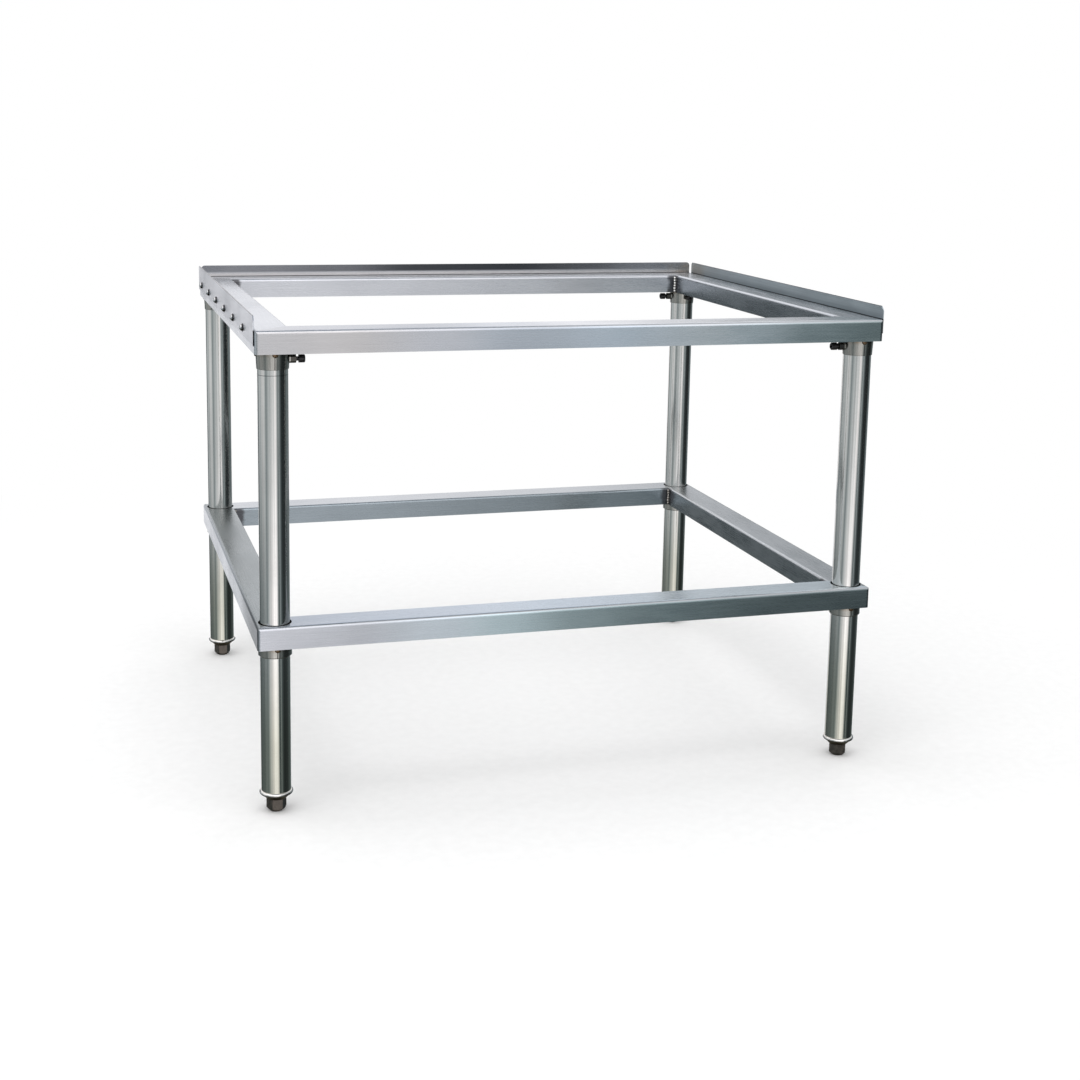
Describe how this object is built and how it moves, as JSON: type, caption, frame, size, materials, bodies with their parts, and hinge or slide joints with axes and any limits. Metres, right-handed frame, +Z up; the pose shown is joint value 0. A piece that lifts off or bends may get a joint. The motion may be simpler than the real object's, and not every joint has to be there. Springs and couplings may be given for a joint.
{
  "type": "burner stand",
  "caption": "Open equipment stand of channel rails with three upturned guards, round tube legs in sockets, a sliding undershelf frame and screw-in levelling feet.",
  "frame": {"origin": "floor level, under the middle of the rail frame, with every levelling foot screwed fully in", "axes": "+X to the right along the front rail, +Y to the guarded back, +Z up"},
  "size_m": [0.9266, 0.7681, 0.693],
  "materials": {
    "rail_steel": "brushed along each rail, ground corners",
    "guard_steel": "brushed lengthwise, bright",
    "leg_steel": "polished tube with fine draw lines",
    "socket_steel": "satin with a heat tint at the welds",
    "plug_steel": "polished rim, brownish underside",
    "rivet_steel": "polished domes",
    "black_screws": "black oxide",
    "foot_steel": "dark dull steel"
  },
  "bodies": {
    "frame": {"top_rail_front": "rail_steel", "top_rail_right": "rail_steel", "top_rail_back": "rail_steel", "top_rail_left": "rail_steel", "guard_left": "guard_steel", "guard_right": "guard_steel", "guard_back": "guard_steel", "rivets_left": "rivet_steel", "rivets_right": "rivet_steel", "rivets_back": "rivet_steel", "leg_socket_front_left": "socket_steel", "leg_socket_front_right": "socket_steel", "leg_socket_back_left": "socket_steel", "leg_socket_back_right": "socket_steel", "socket_screws_front_left": "black_screws", "socket_screws_front_right": "black_screws", "socket_screws_back_left": "black_screws", "socket_screws_back_right": "black_screws", "leg_tube_front_left": "leg_steel", "leg_tube_front_right": "leg_steel", "leg_tube_back_left": "leg_steel", "leg_tube_back_right": "leg_steel", "leg_plug_front_left": "plug_steel", "leg_plug_front_right": "plug_steel", "leg_plug_back_left": "plug_steel", "leg_plug_back_right": "plug_steel"},
    "shelf": {"shelf_rail_front": "rail_steel", "shelf_rail_right": "rail_steel", "shelf_rail_back": "rail_steel", "shelf_rail_left": "rail_steel", "shelf_collar_front_left": "socket_steel", "shelf_collar_front_right": "socket_steel", "shelf_collar_back_left": "socket_steel", "shelf_collar_back_right": "socket_steel", "collar_screws_front_left": "black_screws", "collar_screws_front_right": "black_screws", "collar_screws_back_left": "black_screws", "collar_screws_back_right": "black_screws"},
    "levelling_foot_front_left": {"foot_front_left": "foot_steel"},
    "levelling_foot_front_right": {"foot_front_right": "foot_steel"},
    "levelling_foot_back_left": {"foot_back_left": "foot_steel"},
    "levelling_foot_back_right": {"foot_back_right": "foot_steel"}
  },
  "joints": [
    {"name": "shelf_height", "type": "slide", "parent": "frame", "child": "shelf", "axis": [0, 0, 1], "range_m": [-0.15, 0.25]},
    {"name": "foot_height_front_left", "type": "slide", "parent": "frame", "child": "levelling_foot_front_left", "axis": [0, 0, 1], "range_m": [-0.025, 0]},
    {"name": "foot_height_front_right", "type": "slide", "parent": "frame", "child": "levelling_foot_front_right", "axis": [0, 0, 1], "range_m": [-0.025, 0]},
    {"name": "foot_height_back_left", "type": "slide", "parent": "frame", "child": "levelling_foot_back_left", "axis": [0, 0, 1], "range_m": [-0.025, 0]},
    {"name": "foot_height_back_right", "type": "slide", "parent": "frame", "child": "levelling_foot_back_right", "axis": [0, 0, 1], "range_m": [-0.025, 0]}
  ]
}
